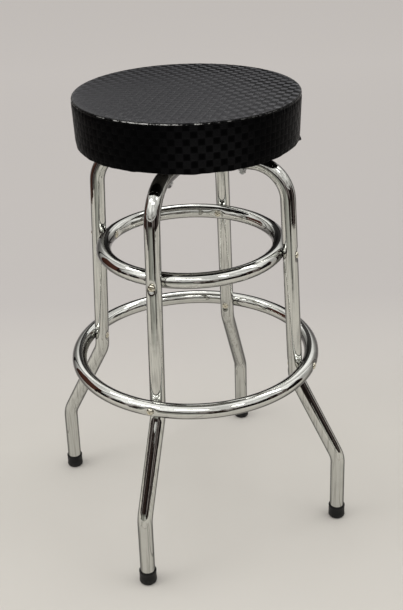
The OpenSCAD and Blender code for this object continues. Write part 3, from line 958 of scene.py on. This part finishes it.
class STOOL_OT_hoops(bpy.types.Operator):
    """Bends the two chromed hoops that make the four legs"""

    bl_idname = "stool.hoops"
    bl_label = "Hoops"

    # Distance between a hoop's rings of points on each of its seven straight runs.
    steps = (0.006, 0.006, 0.0021, 0.0024, 0.0021, 0.006, 0.006)
    bend_step = 0.003

    def path(self, sizes):
        """The corners of a hoop's centreline, and the radius of the bend at each."""
        lean = foot_lean(sizes)
        half = [
            (
                sizes.foot_spread / 2 - sizes.cap_sole * math.sin(lean),
                sizes.cap_sole * math.cos(lean),
            ),
            (sizes.ankle_spread / 2, sizes.ankle_height),
            (sizes.knee_spread / 2, sizes.knee_height),
            (sizes.top_spread / 2, sizes.run_height),
        ]
        bends = [0, sizes.leg_bend, sizes.leg_bend, sizes.top_bend]
        corners = [np.array(p) for p in half] + [np.array((-x, z)) for x, z in reversed(half)]
        return corners, bends + bends[::-1]

    def bend_hoop(self, name, sizes):
        corners, bends = self.path(sizes)
        first = unit(corners[1] - corners[0])
        clear_selection()
        bpy.ops.mesh.primitive_circle_add(
            vertices=48,
            radius=sizes.tube_diameter / 2,
            location=(corners[0][0], 0, corners[0][1]),
            rotation=(0, math.atan2(first[0], first[1]), 0),
        )
        hoop = newest(name)
        set_in_place()
        edit_all()
        start = corners[0]
        for i, step in enumerate(self.steps):
            ahead = unit(corners[i + 1] - corners[i])
            turn = trim = 0
            if i + 2 < len(corners):
                after = unit(corners[i + 2] - corners[i + 1])
                turn = math.atan2(ahead[0] * after[1] - ahead[1] * after[0], ahead @ after)
                trim = bends[i + 1] * math.tan(abs(turn) / 2)
            end = corners[i + 1] - ahead * trim
            run = end - start
            count = max(2, round(np.linalg.norm(run) / step))
            bpy.ops.mesh.extrude_repeat(steps=count, offset=(run[0] / count, 0, run[1] / count))
            if turn:
                side = math.copysign(1, turn)
                centre = end + side * np.array((-ahead[1], ahead[0])) * bends[i + 1]
                bpy.ops.mesh.spin(
                    steps=max(8, round(abs(turn) * bends[i + 1] / self.bend_step)),
                    angle=abs(turn),
                    center=(centre[0], 0, centre[1]),
                    axis=(0, side, 0),
                )
                start = corners[i + 1] + after * trim
        leave_edit()
        last = np.array([v.co for v in hoop.data.vertices if v.select])
        if np.linalg.norm(last.mean(0)[[0, 2]] - corners[7]) > 0.0005:
            raise RuntimeError("the hoop's bends went the wrong way")
        return hoop

    def press(self, hoop, sizes, upper_half):
        """Dents and dimples both legs, and flattens the run where the other hoop crosses it."""
        co = points_of(hoop)
        tube = sizes.tube_diameter / 2
        lean = leg_lean(sizes)
        upper, foot = sizes.upper_ring_height, sizes.foot_ring_height
        for side in (1, -1):
            out = (side, 0, 0)
            along = (side * -math.sin(lean), 0, math.cos(lean))
            square = (side * math.cos(lean), 0, math.sin(lean))
            back = (side * -math.cos(lean), 0, -math.sin(lean))
            mine = co[:, 0] * side > 0.05
            part = co[mine]
            for node, height, inside in (("upper_ring", upper, 1), ("foot_ring", foot, -1)):
                part = dented(part, out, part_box(node)[1].x - tube, height, sizes, inside)
            for height, way in ((upper, square), (foot, back)):
                centre = (side * leg_radius(sizes, height), 0, height)
                part = dimpled(part, centre, way, along, sizes)
            co[mine] = part
        level = np.abs(co[:, 0]) < 0.05
        edge = np.maximum(0, np.abs(co[:, 0]) - (tube + 0.0003)) * 4
        z = co[:, 2] - sizes.run_height
        if upper_half:
            nested = soft_max(z, 0.0001 - edge, DENT_SOFTNESS)
        else:
            nested = soft_min(z, -0.0001 + edge, DENT_SOFTNESS)
        co[:, 2] = np.where(level, nested + sizes.run_height, co[:, 2])
        move_points(hoop, co)

    def execute(self, context):
        sizes = context.scene.stool_frame
        chrome = chrome_finish("Chrome Plating", 0.5)
        for ends, above in (("front_back", True), ("left_right", False)):
            hoop = self.bend_hoop(f"chromed_hoop_{ends}", sizes)
            self.press(hoop, sizes, above)
            close_and_smooth(hoop, 55)
            if ends == "front_back":
                hoop.rotation_euler = (0, 0, QUARTER_TURN)
                set_in_place()
            finish_piece(hoop, "frame", "chromed_tube", chrome, f"hoop_{ends}")
        return {"FINISHED"}


class STOOL_OT_rings(bpy.types.Operator):
    """Rolls the upper ring and the foot ring with their pressed dimples"""

    bl_idname = "stool.rings"
    bl_label = "Rings"

    def execute(self, context):
        sizes = context.scene.stool_frame
        tube = sizes.tube_diameter / 2
        chrome = chrome_finish("Ring Chrome Plating", 0.12)
        for node, height, face, segments in (
            ("upper_ring", sizes.upper_ring_height, -1, 400),
            ("foot_ring", sizes.foot_ring_height, 1, 480),
        ):
            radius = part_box(node)[1].x - tube
            clear_selection()
            bpy.ops.mesh.primitive_torus_add(
                location=(0, 0, height),
                major_radius=radius,
                minor_radius=tube,
                major_segments=segments,
                minor_segments=48,
            )
            ring = newest(f"chromed_{node}")
            set_in_place()
            co = points_of(ring)
            for k in range(4):
                way = np.array((math.cos(k * QUARTER_TURN), math.sin(k * QUARTER_TURN), 0.0))
                near = co @ way > radius * 0.7
                centre = way * radius + np.array((0, 0, height))
                co[near] = dimpled(co[near], centre, way * face, (-way[1], way[0], 0), sizes)
            move_points(ring, co)
            close_and_smooth(ring, 55)
            finish_piece(ring, "frame", "chromed_tube", chrome, node)
        return {"FINISHED"}


class STOOL_OT_ring_fasteners(bpy.types.Operator):
    """Turns the screws and sleeve nuts that join rings and legs"""

    bl_idname = "stool.ring_fasteners"
    bl_label = "Ring fasteners"

    # A head's rounded outside: shares of its radius and of its height.
    rounding = (
        (1.0, 0.26),
        (0.985, 0.38),
        (0.94, 0.55),
        (0.86, 0.72),
        (0.74, 0.87),
        (0.58, 0.96),
        (0.4, 1.0),
    )
    spins = (0.35, 1.1, 0.6, 1.9)
    blade = 0.0011

    def cross_recess(self, high, depth, wide):
        """The two blades of a cross recess that narrows downwards from a head's top."""
        for angle in (0, QUARTER_TURN):
            clear_selection()
            bpy.ops.mesh.primitive_cube_add(size=1.0, location=(0, 0, high - depth / 2 + 0.0005))
            blade = newest("blade")
            blade.scale = (wide, self.blade, depth + 0.001)
            set_in_place()
            bpy.ops.object.mode_set(mode="EDIT")
            bpy.ops.mesh.select_all(action="DESELECT")
            leave_edit()
            for face in blade.data.polygons:
                face.select = face.normal.z < -0.5
            bpy.ops.object.mode_set(mode="EDIT")
            bpy.ops.transform.resize(value=(0.35, 0.8, 1), center_override=(0, 0, 0))
            leave_edit()
            blade.rotation_euler = (0, 0, angle)
            set_in_place()
            yield blade

    def head(self, name, high, shank, sizes, stem):
        """A pan head whose underside is level with the ground, on its shank."""
        r = sizes.head_diameter / 2
        profile = [
            (shank * 0.82, -stem),
            (shank, -stem + 0.0008),
            (shank, -0.00005),
            (r - 0.0003, 0.0),
            (r, 0.0002),
        ]
        profile += [(r * wide, high * rise) for wide, rise in self.rounding]
        head = turned(name, profile)
        for blade in self.cross_recess(high, high * 0.62, r * 1.15):
            with_modifier(head, "BOOLEAN", object=blade, operation="DIFFERENCE", solver="EXACT")
            bpy.data.objects.remove(blade)
        bpy.ops.object.shade_smooth_by_angle(angle=math.radians(35))
        return head

    def execute(self, context):
        sizes = context.scene.stool_frame
        zinc = plated_finish("Yellow Zinc", context.scene.stool_finish.zinc, 0.16)
        rings = (("upper_ring", sizes.upper_ring_height), ("foot_ring", sizes.foot_ring_height))
        for kind, high, shank, stem, inward in (
            ("screw", 0.0034, 0.003, 0.036, False),
            ("sleeve_nut", 0.0024, 0.004, 0.011, True),
        ):
            for ring, height in rings:
                name, node = f"{ring}_{kind}_set", f"{ring}_{kind}s"
                model = self.head(name, high, shank, sizes, stem)
                tilt = -QUARTER_TURN if inward else QUARTER_TURN
                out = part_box(node)[1].x - (stem if inward else high)
                copies = [
                    placed_copy(
                        model,
                        f"{name}_{k}",
                        (
                            ("z", spin),
                            ("y", tilt),
                            ("move", (out, 0, height)),
                            ("z", k * QUARTER_TURN),
                        ),
                    )
                    for k, spin in enumerate(self.spins)
                ]
                bpy.data.objects.remove(model)
                finish_piece(joined(copies, name), "frame", "zinc_fasteners", zinc, node)
        return {"FINISHED"}


class STOOL_OT_foot_caps(bpy.types.Operator):
    """Moulds the four black rubber foot caps"""

    bl_idname = "stool.foot_caps"
    bl_label = "Foot caps"

    # Inset from the cap's widest radius, and height: up its outside to its top bead.
    outside = (
        (0.0026, -0.0012),
        (0.0022, 0.0004),
        (0.0012, 0.0011),
        (0.0004, 0.0021),
        (0.00005, 0.0034),
        (0.00005, 0.0052),
        (0.0003, 0.0075),
        (0.0004, 0.0120),
    )
    # The same inset, and depth under the cap's top.
    bead = ((0.0004, 0.0034), (0.0001, 0.0026), (0.0001, 0.0009), (0.0005, 0.0002), (0.0012, 0.0))

    def execute(self, context):
        sizes = context.scene.stool_frame
        bore = sizes.tube_diameter / 2 + 0.00005
        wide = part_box("foot_cap_right")[1].y
        high, sole = sizes.cap_height, sizes.cap_sole
        profile = [(wide - inset, z) for inset, z in self.outside]
        profile += [(wide - inset, high - depth) for inset, depth in self.bead]
        profile += [(bore + 0.0003, high - 0.0001), (bore, high - 0.0005), (bore, sole + 0.0001)]
        cap = turned("cap", profile, 64)
        rubber = rubber_finish("Foot Rubber")
        for k, side in enumerate(("right", "back", "left", "front")):
            name = f"foot_cap_{side}"
            piece = placed_copy(
                cap,
                f"rubber_{name}",
                (
                    ("y", -foot_lean(sizes)),
                    ("move", (sizes.foot_spread / 2, 0, 0)),
                    ("z", k * QUARTER_TURN),
                ),
            )
            edit_all()
            bpy.ops.mesh.bisect(
                plane_co=(0, 0, 0.00002), plane_no=(0, 0, 1), clear_inner=True, use_fill=True
            )
            leave_edit()
            close_and_smooth(piece, 35)
            finish_piece(piece, "frame", "foot_rubber", rubber, name)
        bpy.data.objects.remove(cap)
        return {"FINISHED"}


class STOOL_OT_swivel(bpy.types.Operator):
    """Finishes the ball-bearing swivel and its fasteners"""

    bl_idname = "stool.swivel"
    bl_label = "Swivel"

    def execute(self, context):
        steel = plated_finish("Swivel Steel", (0.50, 0.50, 0.51), 0.34, 0.7, 60.0)
        bright = plated_finish("Bearing Steel", (0.72, 0.72, 0.73), 0.12, 0.9)
        brass = plated_finish("Cage Brass", (0.68, 0.50, 0.22), 0.3, 0.8)
        zinc = plated_finish("Clear Zinc", (0.66, 0.67, 0.68), 0.26, 0.85)
        paint_nodes(steel, "swivel_lower_plate", "swivel_upper_plate", "king_pin")
        paint_nodes(bright, "bearing_balls")
        paint_nodes(brass, "ball_cage")
        paint_nodes(zinc, "king_pin_nut", "plate_bolts", "saddle_washers", "plate_nuts")
        paint_nodes(zinc, "seat_screws", "tee_nuts")
        return {"FINISHED"}


# ---------- seat ----------

TOP_ROWS = 5  # rows of points that belong to the top panel's flat cut
SEAM_ROW = 5
UNDERSIDE_ROWS = 12
SWELL_LIMIT = 0.0009
UV_SHIFT = 5.0  # keeps the flat cut's places above 0
FOLD_HEIGHT = 0.690
FLAP_ANGLE, FLAP_WIDTH = math.radians(13), math.radians(2.2)


def seat_profile(seat):
    """Radius and height, in millimetres, down the cover's outer side from the edge of its top."""
    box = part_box("cover_side_band")
    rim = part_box("cover_top_panel")[1].x * 1000
    top = box[1].z * 1000 + 4.1
    under = box[0].z * 1000
    roll = seat.roll * 1000
    rows = [
        (rim - 2.6, top - 0.05),
        (rim - 1.3, top - 0.45),
        (rim - 0.4, top - 1.3),
        (rim, top - 2.6),
        (rim - 0.05, top - roll + 1.0),
        (rim - 0.75, top - roll),
        (rim - 0.35, top - roll - 1.2),
    ]
    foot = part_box("seat_board")[1].x * 1000 + 1.1
    z = top - roll - 4.0
    slope = (rim - 0.2 - foot) / (top - under)
    while z > under + 4.5:
        rows.append((rim - 0.2 - slope * (top - z), z))
        z -= 3.4
    rows += [
        (foot - 0.02, under + 2.4),
        (foot - 0.12, under + 1.2),
        (foot - 0.6, under + 0.35),
        (foot - 1.8, under + 0.05),
        (foot - 5.0, under),
    ]
    r = foot - 9.0
    while r > foot - 24.0:
        rows.append((r, under))
        r -= 4.0
    return rows + [(foot - 25.0, under + 0.1), (foot - 25.1, under + 1.3)]


class STOOL_OT_seat_cover(bpy.types.Operator):
    """Sews the embossed vinyl cover over its pad and lets the padding swell it"""

    bl_idname = "stool.seat_cover"
    bl_label = "Seat cover"

    cells = 88

    def sew(self, seat):
        """The cover's mesh: a crowned grid for its top, and rows of points down its side."""
        rows = seat_profile(seat)
        n = self.cells
        wide = n + 1
        rim, top = rows[0]
        rim -= 1.8
        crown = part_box("cover_top_panel")[1].z * 1000 - top
        gx, gy = np.meshgrid(*[np.linspace(-1, 1, wide)] * 2)
        px = gx * np.sqrt(1 - gy**2 / 2) * rim
        py = gy * np.sqrt(1 - gx**2 / 2) * rim
        pz = top + crown * (1 - (px**2 + py**2) / rim**2)
        points = [tuple(p) for p in np.stack([px.ravel(), py.ravel(), pz.ravel()], 1)]
        faces = [
            (j * wide + i, j * wide + i + 1, (j + 1) * wide + i + 1, (j + 1) * wide + i)
            for j in range(n)
            for i in range(n)
        ]
        kinds = [0] * len(faces)
        edge = (
            [i for i in range(n)]
            + [j * wide + n for j in range(n)]
            + [n * wide + i for i in range(n, 0, -1)]
            + [j * wide for j in range(n, 0, -1)]
        )
        around = len(edge)
        angle = [math.atan2(points[i][1], points[i][0]) for i in edge]
        loop = edge
        for k, (r, z) in enumerate(rows):
            fresh = list(range(len(points), len(points) + around))
            points += [(r * math.cos(a), r * math.sin(a), z) for a in angle]
            for q in range(around):
                w = (q + 1) % around
                faces.append((loop[q], fresh[q], fresh[w], loop[w]))
            kinds += [0 if k < TOP_ROWS else 1] * around
            loop = fresh
        middle = len(points)
        points.append((0, 0, rows[-1][1]))
        faces += [(loop[q], middle, loop[(q + 1) % around]) for q in range(around)]
        kinds += [1] * around
        mesh = bpy.data.meshes.new("seat_cover")
        mesh.from_pydata([(x * MM, y * MM, z * MM) for x, y, z in points], [], faces)
        mesh.update()
        cover = bpy.data.objects.new("seat_cover", mesh)
        bpy.context.scene.collection.objects.link(cover)
        self.lay_out(cover, kinds, seat.turn)
        return cover, len(rows), wide**2, around

    def lay_out(self, cover, kinds, turn):
        """The flat cut of the cover, in metres: the top panel as a disc and the band unrolled."""
        layer = cover.data.uv_layers.new(name="cover")
        co = points_of(cover)
        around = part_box("cover_top_panel")[1].x
        s, c = math.sin(turn), math.cos(turn)
        for face, kind in zip(cover.data.polygons, kinds):
            x, y, z = co[list(face.vertices)].T
            if kind == 0:
                u = x * c + y * s
                v = -x * s + y * c
            else:
                a = np.arctan2(x, -y)
                mid = math.atan2(x.mean(), -y.mean())
                a = mid + (a - mid + math.pi) % (2 * math.pi) - math.pi
                u = a * around
                inward = around - np.hypot(x, y)
                v = z - np.where(z < FOLD_HEIGHT, np.maximum(inward - 0.004, 0), 0)
            for k, loop in enumerate(face.loop_indices):
                layer.data[loop].uv = (u[k] + UV_SHIFT, v[k] + UV_SHIFT)

    def swell(self, cover, rows, top_count, around):
        """Lets the padding press the cover out between its seams."""
        rest = points_of(cover)
        held = cover.vertex_groups.new(name="sewn")
        for k in range(rows):
            if k <= SEAM_ROW + 1 or k >= rows - UNDERSIDE_ROWS:
                first = top_count + k * around
                held.add(list(range(first, first + around)), 1.0, "REPLACE")
        held.add([len(rest) - 1], 1.0, "REPLACE")
        take(cover)
        bpy.ops.object.modifier_add(type="CLOTH")
        cloth = cover.modifiers[-1]
        cloth.settings.quality = 6
        cloth.settings.mass = 0.4
        cloth.settings.use_pressure = True
        cloth.settings.uniform_pressure_force = 4.0
        cloth.settings.vertex_group_mass = "sewn"
        cloth.settings.shrink_min = -0.012
        cloth.settings.effector_weights.gravity = 0.0
        cloth.collision_settings.use_collision = False
        cloth.point_cache.frame_start, cloth.point_cache.frame_end = 1, 20
        for f in range(1, 21):
            bpy.context.scene.frame_set(f)
        bpy.ops.object.modifier_apply(modifier=cloth.name)
        bpy.context.scene.frame_set(1)
        moved = points_of(cover) - rest
        far = np.linalg.norm(moved, axis=1)
        kept = SWELL_LIMIT * np.tanh(far / SWELL_LIMIT) / np.maximum(far, 1e-9)
        keep = np.where(far > 1e-9, kept, 0)
        move_points(cover, rest + moved * keep[:, None])

    def gather(self, cover, seat):
        """Draws small gathers into the rolled edge above and below the seam."""
        co = points_of(cover)
        a = np.arctan2(co[:, 1], co[:, 0])
        r = np.hypot(co[:, 0], co[:, 1])
        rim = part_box("cover_top_panel")[1].x
        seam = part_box("cover_side_band")[1].z - 0.002
        rng = np.random.default_rng(7)
        wave = np.zeros(len(co))
        for count, share in ((47, 0.5), (83, 0.8), (121, 1.0), (163, 0.7), (211, 0.4)):
            wave += share * np.sin(count * a + rng.uniform(0, 6.28)) * (
                0.6 + 0.4 * np.sin((3 + rng.integers(0, 6)) * a + rng.uniform(0, 6.28))
            )
        wave /= 2.0
        close = np.exp(-(((co[:, 2] - seam) / 0.0055) ** 2))
        close = close * smooth_step(r, rim - 0.016, rim - 0.002)
        push = wave * close * seat.puckers

        def outward(rise):
            return np.stack([np.cos(a), np.sin(a), rise * np.ones(len(a))], 1)

        co = co + push[:, None] * outward(0.6)
        # The band's lower edge waves slowly, and a loose flap hangs out at one side.
        slow = np.zeros(len(co))
        for count, share in ((5, 1.0), (9, 0.7), (14, 0.5), (23, 0.5), (37, 0.4), (59, 0.3)):
            slow += share * np.sin(count * a + rng.uniform(0, 6.28))
        lower = 1 - smooth_step(co[:, 2], FOLD_HEIGHT, 0.712)
        outer = smooth_step(r, 0.155, 0.172)
        co[:, 2] += slow * 0.0005 * lower * outer
        low = 1 - smooth_step(co[:, 2], 0.686, 0.693)
        flap = np.exp(-(((a - FLAP_ANGLE) / FLAP_WIDTH) ** 2)) * low * outer
        co += (flap * 0.0036)[:, None] * outward(-0.5)
        # Nothing stands further out than the padding's allowance.
        over = np.hypot(co[:, 0], co[:, 1])
        limit = rim + 0.0006
        co[:, :2] *= np.where(over > limit, limit / over, 1)[:, None]
        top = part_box("cover_top_panel")[1].z
        co[:, 2] = np.minimum(co[:, 2], top + 0.0005)
        move_points(cover, co)

    def execute(self, context):
        seat = context.scene.stool_seat
        cover, *counts = self.sew(seat)
        self.swell(cover, *counts)
        with_modifier(cover, "SUBSURF", levels=1, render_levels=1, uv_smooth="NONE")
        self.gather(cover, seat)
        take(cover)
        edit_all()
        bpy.ops.mesh.normals_make_consistent(inside=False)
        leave_edit()
        bpy.ops.object.shade_smooth()
        vinyl = vinyl_finish("Woven Look Vinyl")
        finish_piece(cover, "seat", "black_vinyl", vinyl, "cover_top_panel", "cover_side_band")
        return {"FINISHED"}


class STOOL_OT_seat_inside(bpy.types.Operator):
    """Cuts the foam pad and finishes the plywood board and staples"""

    bl_idname = "stool.seat_inside"
    bl_label = "Seat inside"

    def execute(self, context):
        low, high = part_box("seat_foam")
        clear_selection()
        bpy.ops.mesh.primitive_cylinder_add(
            vertices=96,
            radius=high.x - 0.003,
            depth=high.z - low.z - 0.006,
            location=(0, 0, (low.z + high.z) / 2 - 0.0025),
        )
        pad = newest("foam_pad")
        set_in_place()
        with_modifier(pad, "BEVEL", width=0.004, segments=3)
        bpy.ops.object.shade_smooth_by_angle(angle=math.radians(40))
        finish_piece(pad, "seat", "foam", foam_finish("Open Foam"), "seat_foam")
        paint_nodes(plywood_finish("Plywood"), "seat_board")
        paint_nodes(plated_finish("Staple Wire", (0.62, 0.62, 0.63), 0.25), "staples")
        return {"FINISHED"}


class STOOL_PT_panel(bpy.types.Panel):
    """Sizes, finishes and steps of the bar stool"""

    bl_idname = "STOOL_PT_panel"
    bl_label = "Bar Stool"
    bl_space_type = "VIEW_3D"
    bl_region_type = "UI"
    bl_category = "Stool"

    def draw(self, context):
        for group in GROUPS:
            settings = getattr(context.scene, group)
            box = self.layout.box()
            for key in settings.__annotations__:
                box.prop(settings, key)
        for step in STEPS:
            self.layout.operator(step.bl_idname)


STEPS = (
    STOOL_OT_stage,
    STOOL_OT_hoops,
    STOOL_OT_rings,
    STOOL_OT_ring_fasteners,
    STOOL_OT_foot_caps,
    STOOL_OT_swivel,
    STOOL_OT_seat_cover,
    STOOL_OT_seat_inside,
)
GROUPS = {
    "stool_frame": StoolFrameSizes,
    "stool_seat": StoolSeatSizes,
    "stool_finish": StoolFinish,
    "stool_stage": StoolStage,
}


def register():
    for name, group in GROUPS.items():
        bpy.utils.register_class(group)
        setattr(bpy.types.Scene, name, PointerProperty(type=group))
    for step in STEPS:
        bpy.utils.register_class(step)
    bpy.utils.register_class(STOOL_PT_panel)


def unregister():
    bpy.utils.unregister_class(STOOL_PT_panel)
    for step in reversed(STEPS):
        bpy.utils.unregister_class(step)
    for name, group in GROUPS.items():
        delattr(bpy.types.Scene, name)
        bpy.utils.unregister_class(group)


def main():
    register()
    for step in (
        bpy.ops.stool.stage,
        bpy.ops.stool.hoops,
        bpy.ops.stool.rings,
        bpy.ops.stool.ring_fasteners,
        bpy.ops.stool.foot_caps,
        bpy.ops.stool.swivel,
        bpy.ops.stool.seat_cover,
        bpy.ops.stool.seat_inside,
    ):
        step()


if __name__ == "__main__":
    main()
